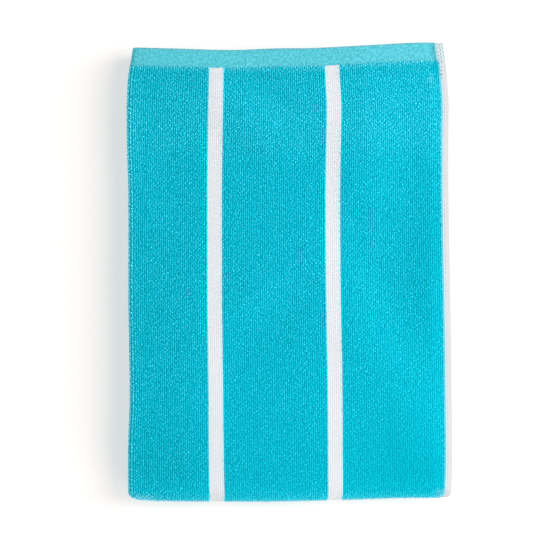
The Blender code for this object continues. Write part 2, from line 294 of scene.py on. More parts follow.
class TowelPattern(bpy.types.PropertyGroup):
    """The stripes and the colours of the yarns."""

    stripe_pitch: length("Stripe pitch", "From the middle of one stripe to the next", 0.1084)
    ribs_in_pitch: whole("Ribs in a pitch", "Ribs of loops from one stripe to the next", 56)
    ribs_in_stripe: whole("Ribs in a stripe", "White ribs in each stripe", 7)
    turquoise: colour("Turquoise", "Yarn of the panels", (0.0, 0.612, 0.768))
    white: colour("White", "Yarn of the stripes", (0.725, 0.745, 0.775))
    stripe_edge: colour("Stripe edge", "White yarn next to the panels", (0.53, 0.81, 0.89))
    selvedge: colour("Selvedge", "Flat weave of the side hems", (0.585, 0.59, 0.605))
    # A painted highlight on the side hem's rounded top, tinted by light thrown back from the pile.
    selvedge_highlight: colour("Selvedge by the pile", "Its pale edge", (0.65, 0.74, 0.77))
    hem: colour("Hem", "Flat weave of the end hems", (0.076, 0.515, 0.605))
    dash: colour("Dash", "Tinted stitches at the side hems' ends", (0.26, 0.47, 0.50))
    needle_hole: colour("Needle hole", "Shade at the bottom of a hole", (0.06, 0.10, 0.16))


class TowelPile(bpy.types.PropertyGroup):
    """The loops."""

    row_pitch: length("Row pitch", "From one loop to the next along a rib", 0.00180)
    loop_width: length("Loop width", "Across the rib", 0.00166)
    loop_length: length("Loop length", "Along the rib", 0.00155)
    loop_rise: length("Loop rise", "How far a loop stands out of the cloth", 0.00120)
    lean: amount("Lean", "How far loops lean, by their width", 0.30, min=0.0, max=1.0)
    uneven: amount("Unevenness", "How much loops differ in size", 0.22, min=0.0, max=0.6)
    shade: amount("Shade", "How much loops differ in lightness", 0.05, min=0.0, max=0.5)
    seed: whole("Seed", "Seed of the loops' unevenness", 11)


class TowelStitching(bpy.types.PropertyGroup):
    """The stitches."""

    stitch_pitch: length("Stitch pitch", "From one needle hole to the next", 0.0034)
    stitch_length: length("Stitch length", "Length of thread that shows", 0.0028)
    thread: length("Thread", "Thickness of the thread", 0.00042)
    side_row: length("Side row", "From the side edge to its row of stitches", 0.0046)
    end_row: length("End row", "From the end edge to its row of stitches", 0.0160)
    hole_row: length("Hole row", "From the side edge to the row of needle holes", 0.0058)
    holes_show: length("Holes show", "From an end, how far needle holes show well", 0.060)
    dash_pitch: length("Dash pitch", "From one tinted stitch to the next", 0.0034)
    dash_length: length("Dash length", "Length of tinted thread that shows", 0.0030)
    dash_thread: length("Dash thread", "Thickness of the tinted thread", 0.00070)


class TowelStage(bpy.types.PropertyGroup):
    """The camera, lights and floor."""

    camera_height: length("Camera height", "Over the floor", 1.90)
    view_width: length("View width", "Width of the view at the towel's top", 0.5022)
    camera_x: amount("Camera X", "Over the floor", -0.0132, subtype="DISTANCE", unit="LENGTH")
    camera_y: amount("Camera Y", "Over the floor", -0.0026, subtype="DISTANCE", unit="LENGTH")
    floor_size: length("Floor size", "Side of the square floor", 12.0)
    floor: colour("Floor", "Light that the floor reflects", (0.62, 0.56, 0.537))
    floor_glow: amount("Floor glow", "Light that the floor gives by itself", 0.47, min=0.0)
    key_power: amount("Key power", "Soft light from the right, in watts", 50.0, min=0.0)
    side_fill: amount("Side fill", "Low soft light from the left, in watts", 3.5, min=0.0)
    front_fill: amount("Front fill", "Light from the front right, in watts", 10.0, min=0.0)
    sky: amount("Sky", "Strength of the even light from all round", 0.45, min=0.0)


# ========================================================================== smooth helpers
def ease(share):
    """A smooth rise from 0 to 1 as share goes from 0 to 1: 3 s squared less 2 s cubed."""
    share = np.clip(share, 0.0, 1.0)
    return share * share * (3.0 - 2.0 * share)


def bell(*shares):
    """A bell curve, exp(-a^2 - b^2), of distances a and b as shares of their reaches."""
    return np.exp(-sum(share**2 for share in shares))


def curve_through(at, places, values):
    """Smooth curve through a short table: cubics whose slopes are those of their neighbours."""
    places, values = np.asarray(places, float), np.asarray(values, float)
    slopes = np.gradient(values, places)
    at = np.clip(at, places[0], places[-1])
    k = np.clip(np.searchsorted(places, at, side="right") - 1, 0, len(places) - 2)
    span = places[k + 1] - places[k]
    t = (at - places[k]) / span
    rise = values[k + 1] - values[k]
    start, end = slopes[k] * span, slopes[k + 1] * span
    bend = t * t * (3 * rise - 2 * start - end) + t**3 * (start + end - 2 * rise)
    return values[k] + t * start + bend


def soft_noise(x, y, cell, seed):
    """Smooth noise from -1 to 1: random values on a square net of that cell, eased between."""
    net = 64  # cells before it comes round again
    values = np.random.default_rng(seed).uniform(-1.0, 1.0, (net, net))
    gx, gy = x / cell, y / cell
    left, low = np.floor(gx).astype(int), np.floor(gy).astype(int)
    fx, fy = ease(gx - left), ease(gy - low)
    corner = [values[(left + a) % net, (low + b) % net] for a in (0, 1) for b in (0, 1)]
    near = corner[0] * (1 - fy) + corner[1] * fy
    far = corner[2] * (1 - fy) + corner[3] * fy
    return near * (1 - fx) + far * fx


# =============================================================================== the folds
def run(places, layer, step):
    """Rows of a flat length of cloth on one layer: place, layer, and no bulge."""
    places = np.asarray(places, float)
    nothing = np.zeros_like(places)
    return np.stack([places, nothing + layer, nothing, nothing + step], axis=1)


def fold(centre, radius, way, side, step, steps, squareness=2.0):
    """Rows of a fold, without its two ends: half a turn of a circle pressed towards a square.

    A point at angle a has the direction (sin a, -cos a) over the nth root of
    |sin a|^n + |cos a|^n. centre is (place, layer), and radius is (layers at the middle of the
    cloth, layers for one step of thickness). way is +1 from the lower layer up, side is +1 for
    a bulge towards larger places, and step is the bulge in metres for one layer.
    """
    angle = np.linspace(0.0, np.pi, steps + 1)[1:-1]
    sine, cosine = np.sin(angle), np.cos(angle)
    reach = (np.abs(sine) ** squareness + np.abs(cosine) ** squareness) ** (-1 / squareness)
    out, along = side * step * sine * reach, -way * cosine * reach
    place, layer = centre
    base, growth = radius
    rows = [place + base * out, layer + base * along, growth * out, growth * along]
    return np.stack(rows, axis=1)


def distances(rows, height, at=0.0):
    """Distance of each row from the first, along the cloth, with layers of that height."""
    place = rows[:, PLACE] + at * rows[:, PLACE_STEP]
    layer = rows[:, LAYER_NUMBER] + at * rows[:, LAYER_STEP]
    steps = np.hypot(np.diff(place), height * np.diff(layer))
    return np.concatenate([[0.0], np.cumsum(steps)])


def even_places(first, last, step):
    """Evenly spaced places from first up to but not at last."""
    return np.linspace(first, last, int(np.ceil(abs(last - first) / step)), endpoint=False)


def rolled_edge(edge, inward):
    """Places close to a hem's rounded edge, from the edge in."""
    share = 1.0 - np.cos(np.linspace(0.0, np.pi / 2, EDGE_PARTS + 1))
    return edge + inward * EDGE_RADIUS * share


def hem_lines(width):
    """Distances in from an edge where the step from the hem up to the pile is drawn."""
    return np.linspace(width - HEM_STEP / 2, width + HEM_STEP / 2, STEP_PARTS + 1)


def places_to_hem(start, edge, width):
    """Places from start to the hem at an edge, closer where layers settle on it, and its lines."""
    settle = edge - width - HEM_SETTLE
    hem = edge - hem_lines(width)[::-1]
    easing = np.linspace(settle, hem[0], SETTLE_PARTS, endpoint=False)
    return np.concatenate([even_places(start, settle, RUN_STEP)[1:], easing]), hem


class FoldedCloth:
    """Where each place of the flat towel lies once it is folded.

    x and y are plan places and the third number counts layers, from 0 under the towel to 12 on
    top, so the middle of the lowest layer is at 0.5. The section across the width and the path
    along the length are each a list of rows.
    """

    def __init__(self, sizes):
        self.width, self.length = sizes.width, sizes.length
        self.pile, self.hem = sizes.pile_thickness, sizes.hem_thickness
        self.end_hem, self.side_hem = sizes.end_hem, sizes.side_hem
        self.layer = self.pile + LAYER_GAP
        self.flat_half = self.pile / 2 / self.layer
        self.section = self.across_the_width()
        self.strip = self.along_the_length()
        self.centre = np.zeros(3)
        points = self.at(self.section.distance[:, None], self.strip.distance[None, :])
        low, high = points.min(axis=(0, 1)), points.max(axis=(0, 1))
        self.centre = np.array([(low[0] + high[0]) / 2, (low[1] + high[1]) / 2, 0.0])

    def across_the_width(self):
        """The section in thirds, from the tucked side edge to the one on top."""
        bulge = SIDE_FOLD_BULGE * self.layer
        left = -HALF_WIDTH + (1 + self.flat_half) * bulge
        flat, hem = places_to_hem(left, HALF_WIDTH, self.side_hem)
        middle, right = np.concatenate([flat, hem]), hem[-1]
        right_fold = fold((right, 1.0), (0.5, 1.0), -1, 1, bulge, SIDE_FOLD_STEPS)
        left_fold = fold((left, 1.5), (1.0, 1.0), 1, -1, bulge, SIDE_FOLD_STEPS)
        lower = run([*middle[::-1], left], 0.5, -1)
        edge = rolled_edge(HALF_WIDTH, -1)[::-1]
        upper = run([left, *middle, *edge], 2.5, 1)
        outer = np.concatenate([run([right], 1.5, 1), right_fold, lower, left_fold, upper])
        used = distances(outer, self.layer)
        tucked = right - (self.width - used[-1])
        start = np.concatenate([rolled_edge(tucked, 1), tucked + hem_lines(self.side_hem)])
        inner = run([*start, *middle[middle > start[-1] + HEM_STEP]], 1.5, 1)
        rows = np.concatenate([inner, outer[1:]])
        self.right_fold = self.width - used[-1] + np.array([0.0, used[len(right_fold) + 1]])
        turn = len(right_fold) + len(lower)
        self.left_fold = self.width - used[-1] + used[[turn, turn + len(left_fold) + 1]]
        return Path(rows, distances(rows, self.layer))

    def along_the_length(self):
        """The path along the strip, from the hemmed end on top to the one below it."""
        wrap, half = FRONT_WRAP_BULGE * self.layer, HALF_FOLD_BULGE * self.layer
        top, mid = LAYERS / 2 + LAYERS_IN_STRIP, LAYERS / 2
        front = -HALF_LENGTH + (mid - 0.5 + self.flat_half) * wrap
        core = -HALF_LENGTH + LAYERS_IN_STRIP * (wrap + half) + FRONT_CORE_INSET
        back = HALF_LENGTH - BACK_FOLD_INSET - LAYERS_IN_STRIP * half
        middle, hem = places_to_hem(core, HALF_LENGTH, self.end_hem)
        edge = rolled_edge(HALF_LENGTH, -1)
        highest = run([*edge, *hem[::-1], *middle[::-1], core, front], top, 1)
        wrap_centre = (front, mid)
        wrap_fold = fold(wrap_centre, (3.0, 1.0), -1, -1, wrap, WRAP_STEPS, FRONT_WRAP_SQUARENESS)
        lowest = run([front, core, *middle, back], LAYERS_IN_STRIP, -1)
        back_fold = fold((back, LAYERS_IN_STRIP), (0.0, 1.0), 1, 1, half, HALF_FOLD_STEPS)
        second = run([back, *middle[::-1], core], LAYERS_IN_STRIP, 1)
        core_fold = fold((core, mid), (3.0, -1.0), 1, -1, half, HALF_FOLD_STEPS)
        end = run([core], top, -1)
        parts = [highest, wrap_fold, lowest, back_fold, second, core_fold, end]
        rows = np.concatenate(parts)
        used = distances(rows, self.layer, LAYERS_IN_STRIP / 2)
        ends = np.cumsum([len(part) for part in parts])
        self.front_wrap = used[[ends[0] - 1, ends[1]]]
        self.back_fold = used[[ends[2] - 1, ends[3]]]
        lower_edge = core + self.length - used[-1]
        lower_hem = lower_edge - hem_lines(self.end_hem)[::-1]
        end = np.sort(np.concatenate([lower_hem, hem, rolled_edge(lower_edge, -1)]))
        rows = np.concatenate([rows[:-1], run([core, *middle, *end], top, -1)])
        return Path(rows, distances(rows, self.layer, LAYERS_IN_STRIP / 2))

    def hem_share(self, from_edge, width, settle=0.0):
        """1 on the flat hem and 0 on the pile, at a distance in from the cloth's edge."""
        if settle:
            return 1.0 - ease((from_edge - width) / settle)
        return 1.0 - ease((from_edge - width) / HEM_STEP + 0.5)

    def layer_heights(self, x, y):
        """Height of each layer at places in plan, less where hems lie in the stack."""
        heights = []
        for number in range(1, LAYERS + 1):
            settle = 0.0 if number == LAYERS else HEM_SETTLE
            hem = np.zeros_like(x)
            if number > LAYERS / 2:
                hem = np.maximum(hem, self.hem_share(HALF_LENGTH - y, self.end_hem, settle))
            if number in SIDE_EDGE_LAYERS:
                hem = np.maximum(hem, self.hem_share(HALF_WIDTH - x, self.side_hem, settle))
            heights.append(self.layer - (self.pile - self.hem) * hem)
        return heights

    def settle(self, x, y, layer):
        """Real position of places in layer space. The lowest face is flat, at zero height."""
        heights = self.layer_heights(x, y)
        lowest = stack_height(np.full_like(x, 0.5 - self.flat_half), heights)
        new_x, new_y = lie(x, y, layer)
        height = swell(x, y, LAYERS * self.layer) * (stack_height(layer, heights) - lowest)
        return np.stack([new_x, new_y, height], axis=-1) - self.centre

    def edge_distances(self, across, along):
        """How far places of the flat towel are from the nearer side edge and the nearer end."""
        return np.minimum(across, self.width - across), np.minimum(along, self.length - along)

    def thickness(self, across, along):
        """Thickness of the cloth at places of the flat towel: pile, hem or rolled edge."""
        from_side, from_end = self.edge_distances(across, along)
        side, end = self.hem_share(from_side, self.side_hem), self.hem_share(from_end, self.end_hem)
        roll = 1.0 - np.minimum(from_side, from_end) / EDGE_RADIUS
        whole_cloth = self.pile - (self.pile - self.hem) * np.maximum(side, end)
        return whole_cloth * np.sqrt(1.0 - np.clip(roll, 0.0, EDGE_ROLL) ** 2)

    def at(self, across, along, side=1, sunk=0.0):
        """Points of one face of the folded cloth, at places of the flat towel.

        side is 1 for the face and -1 for the back, and sunk is how far below it to go, as a
        share of half the thickness.
        """
        x0, level0, x_step, level_step = (
            np.interp(across, self.section.distance, column) for column in self.section.rows.T
        )
        y0, layer0, y_step, layer_step = (
            np.interp(along, self.strip.distance, column) for column in self.strip.rows.T
        )
        # The cloth is pressed thinner where its layer has less room than that.
        middle = layer0 + level0 * layer_step
        heights = self.layer_heights(x0 + 0 * y0, y0 + level0 * y_step)
        room = stack_height(middle + 0.5, heights) - stack_height(middle - 0.5, heights)
        half_layer = np.minimum(self.thickness(across, along), room - LAYER_GAP) / 2 / room
        out = side * half_layer * (1.0 - sunk)
        level = level0 + level_step * out
        return self.settle(x0 + x_step * out, y0 + y_step * level, layer0 + layer_step * level)


def stack_height(layer, heights):
    """Height of a layer number over the floor, adding up the layers below it."""
    parts = [h * np.clip(layer - number, 0.0, 1.0) for number, h in enumerate(heights)]
    return np.sum(parts, axis=0)


def swell(x, y, height):
    """Height of the top as a share of its even height.

    Each crease is a bell curve of the distances along and across it, over its half length and
    half width. The front has a low crest, a bell curve too.
    """
    total = np.ones_like(x)
    for crease in CREASES:
        turn = np.radians(crease.turn_deg)
        from_x, from_y = x - mm(crease.x), y - mm(crease.y)
        along = (from_x * np.cos(turn) + from_y * np.sin(turn)) / mm(crease.length / 2)
        across = (from_y * np.cos(turn) - from_x * np.sin(turn)) / mm(crease.width / 2)
        total += mm(crease.rise) / height * bell(along, across)
    return total + FRONT_SWELL * bell((y + HALF_LENGTH - FRONT_CREST) / SWELL_REACH)


def corner_inset(out, y, radius):
    """How far a front corner draws in: a quarter circle in plan. out is x or -x."""
    beyond = np.clip((-HALF_LENGTH + radius - y) / radius, 0.0, 1.0)
    near = ease((out - HALF_WIDTH) / CORNER_REACH + 1.0)
    return radius * (1.0 - np.sqrt(1.0 - beyond**2)) * near


def lie(x, y, layer):
    """Plan position of places in layer space, with the towel's uneven outline."""
    _, *lines = np.transpose(LINE_SHIFTS)
    rows = [row.y for row in LINE_SHIFTS]
    across = np.zeros_like(x)
    for k, shifts in enumerate(lines):
        near = np.interp(x * 1000, LINE_PLACES, np.eye(len(lines))[k])
        across += near * curve_through(y * 1000, rows, shifts)
    places, *ends = np.transpose(END_SHIFTS)
    hemmed, folded = (curve_through(x * 1000, places, shifts) for shifts in ends)
    back_share = np.clip((y + HALF_LENGTH) / FOLDED_LENGTH, 0.0, 1.0)
    along = back_share * hemmed + (1.0 - back_share) * folded
    follows = UNDERSIDE_FOLLOWS + (1.0 - UNDERSIDE_FOLLOWS) * layer / LAYERS
    layers, *lies = np.transpose(STRIP_LIES)
    right, back, turn = (curve_through(layer, layers, values) for values in lies)
    turn = np.radians(turn)
    corners = corner_inset(-x, y, LEFT_CORNER_RADIUS) - corner_inset(x, y, RIGHT_CORNER_RADIUS)
    new_x = x + mm(follows * across + right) + corners - turn * y
    new_y = y + mm(follows * along + back) + turn * x
    return new_x, new_y


# ================================================================================== meshes
def make_piece(name, points, faces, flat, material, **shades):
    """A shaded mesh object that rides with the towel.

    points is an array of places, faces an array of corner numbers, and flat each point's place
    in the flat towel, which becomes the UV map. shades are further numbers for each point, such
    as how light its yarn is, which the material reads by their names.
    """
    points, faces = points.reshape(-1, 3), np.asarray(faces)
    count, corners = faces.shape
    mesh = bpy.data.meshes.new(name)
    mesh.vertices.add(len(points))
    mesh.vertices.foreach_set("co", points.astype(np.float32).ravel())
    mesh.loops.add(count * corners)
    mesh.loops.foreach_set("vertex_index", faces.astype(np.int32).ravel())
    mesh.polygons.add(count)
    mesh.polygons.foreach_set("loop_start", np.arange(count, dtype=np.int32) * corners)
    mesh.update(calc_edges=True)
    mesh.validate()
    mesh.shade_smooth()
    uv = mesh.uv_layers.new(name="flat")
    uv.uv.foreach_set("vector", flat.reshape(-1, 2)[faces.ravel()].astype(np.float32).ravel())
    for shade, values in shades.items():
        layer = mesh.attributes.new(shade, "FLOAT", "POINT")
        layer.data.foreach_set("value", values.astype(np.float32).ravel())
    mesh.materials.append(material)
    piece = bpy.data.objects.new(name, mesh)
    bpy.context.scene.collection.objects.link(piece)
    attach(piece, "root")
    return piece


def cloth_faces(wide, long):
    """Corner numbers of a closed sheet: two grids, back and face, and the rim between them."""
    back, face = np.arange(2 * wide * long).reshape(2, wide, long)

    def grid(n):
        return np.stack([n[:-1, :-1], n[1:, :-1], n[1:, 1:], n[:-1, 1:]], axis=-1).reshape(-1, 4)

    def rim(n):
        return np.concatenate([n[:, 0], n[-1, 1:], n[-2::-1, -1], n[0, -2::-1]])

    low, high = rim(back), rim(face)
    edge = np.stack([low[:-1], low[1:], high[1:], high[:-1]], axis=-1)
    return np.concatenate([grid(face)[:, ::-1], grid(back), edge[:, ::-1]])


# One loop: a ring sunk in the cloth, a fuller ring above it and the top. Columns are across,
# along and rise, as shares of the loop's half width, half length and rise.
RING = np.radians([45, 135, 225, 315])
SUNK_RING = np.stack([np.cos(RING), np.sin(RING), np.full(4, -0.30)], axis=1)
FULL_RING = np.stack([0.93 * np.cos(RING), 0.93 * np.sin(RING), np.full(4, 0.55)], axis=1)
LOOP_SHAPE = np.concatenate([SUNK_RING, FULL_RING, [[0.0, 0.0, 1.0]]])
LOOP_LEAN = np.array([0.0] * 4 + [0.55] * 4 + [1.0])  # how much of the lean each point takes
LOOP_TURN = np.array([1.8] * 4 + [1.5] * 4 + [0.0])  # how far its shading turns outwards
TURN_WAYS = (0.85, 1.25)  # across and along
LOOP_SHADE = np.array([-0.60] * 4 + [0.0] * 4 + [0.06])  # painted shade at the sunk ring and a slight painted highlight at the top, against the yarn
LOOP_FACES = np.array(
    [[k, (k + 1) % 4, 4 + (k + 1) % 4] for k in range(4)]
    + [[k, 4 + (k + 1) % 4, 4 + k] for k in range(4)]
    + [[4 + k, 4 + (k + 1) % 4, 8] for k in range(4)]
)


def unit(vectors):
    """Vectors of length one."""
    return vectors / np.maximum(np.linalg.norm(vectors, axis=-1, keepdims=True), 1e-12)


def directions(cloth, across, along):
    """Base points on the face with the directions across, along and out of the cloth there.

    They come from the face's points a short step to each side, and from one just below it.
    """
    step, below = 0.0004, 0.3
    base = cloth.at(across, along)
    side = unit(cloth.at(across + step, along) - cloth.at(across - step, along))
    out = unit(base - cloth.at(across, along, sunk=below))
    side = unit(side - out * np.sum(side * out, axis=-1, keepdims=True))
    ahead = unit(cloth.at(across, along + step) - cloth.at(across, along - step))
    ahead = unit(ahead - out * np.sum(ahead * out, axis=-1, keepdims=True))
    return base, side, ahead, out


def near(base, spot):
    """A bell curve round a spot on the top, with its two reaches."""
    return bell((base[:, 0] - spot.x) / spot.reach_x, (base[:, 1] - spot.y) / spot.reach_y)


def unevenness(base):
    """How uneven the pile is: an even slope over the towel and a bell curve at each ruffle."""
    ruffled = sum(spot.more * near(base, spot) for spot in RUFFLED_PLACES)
    return 1.0 + base[:, :2] @ ROUGHER + ruffled


def nap(cloth, across, along, base, out):
    """How pale the loops are at places of the cloth, and how much lighter than elsewhere.

    Painted sheen and painted light where the cloth turns round a fold, by the square of the sine
    of its tilt to the side or the front. The left fold, which faces away from the key light, has
    the most painted light where it has turned part of the way, and so has the top next to it.
    The front wrap has painted sheen and painted shade only at its very edge, and what faces down
    stays as it was. Next to the end hem the loops are paler and lighter, and next to the side hem
    paler, with painted shade. The back of the top has painted sheen and light, lighter towards
    the back and in a band, and the listed places of painted light, shade and wear are bell curves.
    """
    faces_up = ease(out[:, 2] + FACES_DOWN)
    side_turn, front_turn = faces_up * out[:, 0] ** 2, faces_up * out[:, 1] ** 2
    fold_turn, very_edge = side_turn + front_turn, front_turn**WRAP_POWER
    from_side, from_end = cloth.edge_distances(across, along)
    by_end = (1.0 - ease((from_end - cloth.end_hem) / END_REACH)) ** 2
    by_side = (1.0 - ease((from_side - cloth.side_hem) / SIDE_REACH)) ** 2
    sheened_back = ease((base[:, 1] - BACK_LINE) / BACK_EASE + 0.5) * (1.0 - fold_turn)
    pale = SIDE_FOLD_PALE * side_turn + WRAP_PALE * very_edge
    pale += BACK_SHEEN * sheened_back + END_PALE * by_end + SIDE_PALE * by_side
    light = FOLD_LIGHT * fold_turn + WRAP_LIGHT * very_edge + BACK_LIGHT * sheened_back
    light += END_LIGHT * by_end + SIDE_LIGHT * by_side
    light += LEFT_LIGHT * faces_up * (1.0 - ease((base[:, 0] + HALF_WIDTH) / LEFT_REACH))
    turned, reach = SHOULDER
    light += SHOULDER_LIGHT * faces_up * bell((out[:, 0] - turned) / reach)
    place, reach, lighter = PAINTED_LIGHT_BAND
    light += PAINTED_LIGHT_TILT * base[:, 1] + lighter * bell((base[:, 1] - place) / reach)
    for spot in WEAR_AND_LIGHT_PLACES:
        wear_and_light = faces_up * near(base, spot)
        pale += spot.pale * wear_and_light
        light += spot.light * wear_and_light
    return pale, light


def evened(noise):
    """Noise over ribs and rows without slow swells: each value less the mean of its four sides.

    The root of 1.25 brings its spread back to what it was.
    """
    beside = sum(np.roll(noise, step, axis) for axis in (1, 2) for step in (-1, 1)) / 4
    return (noise - beside) / np.sqrt(1.25)


def set_out(base, ways, places):
    """Points round each base point: the base, and each way's direction times its places.

    Places are arrays with one row for each base point, or with one row for all of them.
    """
    points = base[:, None]
    for way, place in zip(ways, places):
        points = points + place[..., None] * way[:, None]
    return points


def repeated(faces, points_each, count):
    """Faces of that many loops or stitches, from the faces of one, or of each by itself."""
    return (faces + points_each * np.arange(count)[:, None, None]).reshape(-1, faces.shape[-1])


def clear_of_floor(points):
    """Which loops or stitches stay clear of the floor, from a row of points for each."""
    return points[:, :, 2].min(axis=1) > FLOOR_CLEARANCE


def loop_places(cloth, pile, pattern, rib_range, row_range, seed):
    """Loops' places over a range of the flat towel, which are white, and their own numbers.

    Ribs lie at an even pitch from the towel's middle, and loops along them at another. Each rib
    begins at a place of its own, and each loop lies a little before or behind its row.
    """
    pitch = pattern.stripe_pitch / pattern.ribs_in_pitch
    first, last = (int(np.ceil((s - cloth.width / 2) / pitch)) for s in rib_range)
    rib = np.arange(first, last)
    row = np.arange(row_range[0] + pile.row_pitch / 2, row_range[1], pile.row_pitch)
    rng = np.random.default_rng(seed)
    stagger = rng.uniform(-0.5, 0.5, (len(rib), 1)) * pile.row_pitch
    before, *own = evened(rng.normal(0.0, 1.0, (OWN_NUMBERS, len(rib), len(row))))
    half_pitch = pattern.ribs_in_pitch // 2
    from_stripe = np.abs((rib + half_pitch) % pattern.ribs_in_pitch - half_pitch)
    white = np.repeat(from_stripe <= pattern.ribs_in_stripe // 2, len(row))
    across = cloth.width / 2 + rib[:, None] * pitch + 0 * row
    along = row + stagger + ROW_JITTER * pile.row_pitch * before
    own = np.reshape(own, (OWN_NUMBERS - 1, -1)) * np.where(white, WHITE_JITTER, 1.0)
    return across.ravel(), along.ravel(), white, own


def loops(cloth, pile, pattern, rib_range, row_range, seed):
    """Loops over a range of the flat towel, as points, faces, flat places, normals, shades.

    Each loop is LOOP_SHAPE set on the cloth's face, with its own size, turn and lean. The lean
    follows slow noise, so that the nap changes over the towel as the real one's does. Loops of
    the white ribs are lower and fuller, and those on the side folds are pressed lower, by the
    square of the sine of the fold's tilt.
    """
    across, along, white, own = loop_places(cloth, pile, pattern, rib_range, row_range, seed)
    shift, wider, higher, longer, aside, forwards, lighter = own
    wander = soft_noise(across, along, WANDER_CELL, pile.seed) * RIB_WANDER
    lean_noise = soft_noise(across, along, LEAN_CELL, pile.seed + 1)
    tone_noise = soft_noise(across, along, TONE_CELL, pile.seed + 2)
    base, *ways = directions(cloth, across + wander + RIB_JITTER * shift, along)
    side, ahead, out = ways
    rough = unevenness(base)
    fuller = np.where(white, WHITE_WIDTH, 1.0 + RIB_CLOSING * (1.0 - rough))
    pressed = 1.0 - FOLD_PRESSED * out[:, 0] ** 2
    wide = pile.loop_width / 2 * np.clip(1.0 + pile.uneven * wider, *WIDTH_LIMITS) * fuller
    long = pile.loop_length / 2 * np.clip(1.0 + pile.uneven * longer, *LENGTH_LIMITS)
    rise = pile.loop_rise * np.clip(1.0 + pile.uneven * higher, *RISE_LIMITS)
    rise *= np.where(white, WHITE_RISE, 1.0) * pressed
    lean = pile.loop_width * pile.lean * pressed
    lean_side = lean * (LEAN_SIDE * aside + LEAN_SLOW * lean_noise)
    lean_ahead = lean * LEAN_AHEAD * forwards
    a, b, c = LOOP_SHAPE.T
    places = (
        a * wide[:, None] + LOOP_LEAN * lean_side[:, None],
        b * long[:, None] + LOOP_LEAN * lean_ahead[:, None],
        c * rise[:, None],
    )
    points = set_out(base, ways, places)
    turn = LOOP_TURN * np.where(white, WHITE_ROUNDNESS, rough)[:, None]
    normals = unit(set_out(out, ways, (turn * a * TURN_WAYS[0], turn * b * TURN_WAYS[1])))
    # The tone holds each loop's own lightness, the painted light and shade from nap, and
    # LOOP_SHADE's painted shade at its root.
    pale, light = nap(cloth, across, along, base, out)
    tone = np.clip(lighter, -TONE_LIMIT, TONE_LIMIT) + TONE_SLOW * tone_noise
    tone = (pile.shade * rough * tone + light)[:, None] + rough[:, None] * LOOP_SHADE
    pale, rough = (np.repeat(each[:, None], len(LOOP_SHAPE), axis=1) for each in (pale, rough))
    flat = np.repeat(np.stack([across, along], axis=1)[:, None], len(LOOP_SHAPE), axis=1)
    # LOOP_FACES turn outwards where across, along and out make a right-handed frame.
    turned = np.sum(np.cross(side, ahead) * out, axis=-1) < 0
    kept = clear_of_floor(points)
    faces = np.where(turned[kept, None, None], LOOP_FACES[:, ::-1], LOOP_FACES)
    faces = repeated(faces, len(LOOP_SHAPE), len(faces))
    shades = {"tone": tone[kept], "pale": pale[kept], "rough": rough[kept]}
    return points[kept], faces, flat[kept], normals[kept], shades


STITCH_RINGS = 5
STITCH_SIDES = 6
STITCH_TIP = 0.98  # where the last ring lies, as a share of half the stitch
STITCH_LIFT = 0.35  # how high its middle stands, as a share of the thread's thickness
STITCH_DIP = 0.8  # and how much lower its tips are
DASH_COLUMNS = (0.0018, 0.0041, 0.0064)  # from the side edge
DASH_HEADING = 80.0  # in degrees, from straight across


def stitches(cloth, across, along, heading, thread, visible):
    """Short stitches on the face: each is a bowed rod that dips into the cloth at both ends.

    A ring at share s along the rod, from -1 to 1, has the radius sqrt(1 - s^4) of the thread's
    and stands STITCH_LIFT - STITCH_DIP s^2 of its thickness over the face. heading turns the rod
    from across (0) to along (90). across and along are places, and one of them may be one number.
    """
    across, along = np.broadcast_arrays(across, along)
    base, side, ahead, out = directions(cloth, across, along)
    turn = np.radians(heading)
    rod = side * np.cos(turn) + ahead * np.sin(turn)
    share = np.linspace(-STITCH_TIP, STITCH_TIP, STITCH_RINGS)[:, None]
    angle = np.linspace(0.0, 2 * np.pi, STITCH_SIDES, endpoint=False)
    radius = thread / 2 * np.sqrt(1.0 - share**4)
    height = thread * (STITCH_LIFT - STITCH_DIP * share**2)
    length_way = visible / 2 * share + 0 * angle
    places = (length_way, radius * np.cos(angle), radius * np.sin(angle) + height)
    ways = (rod, unit(np.cross(out, rod)), out)
    points = set_out(base, ways, [place.ravel() for place in places])
    kept = clear_of_floor(points)
    ring = np.arange(STITCH_SIDES)
    after = (ring + 1) % STITCH_SIDES
    band = np.stack([ring, ring + STITCH_SIDES, after + STITCH_SIDES, after], axis=1)
    tube = np.concatenate([band + k * STITCH_SIDES for k in range(STITCH_RINGS - 1)])
    points_each = STITCH_RINGS * STITCH_SIDES
    flat = np.repeat(np.stack([across, along], axis=1)[:, None], points_each, axis=1)
    return points[kept], repeated(tube, points_each, kept.sum()), flat[kept]


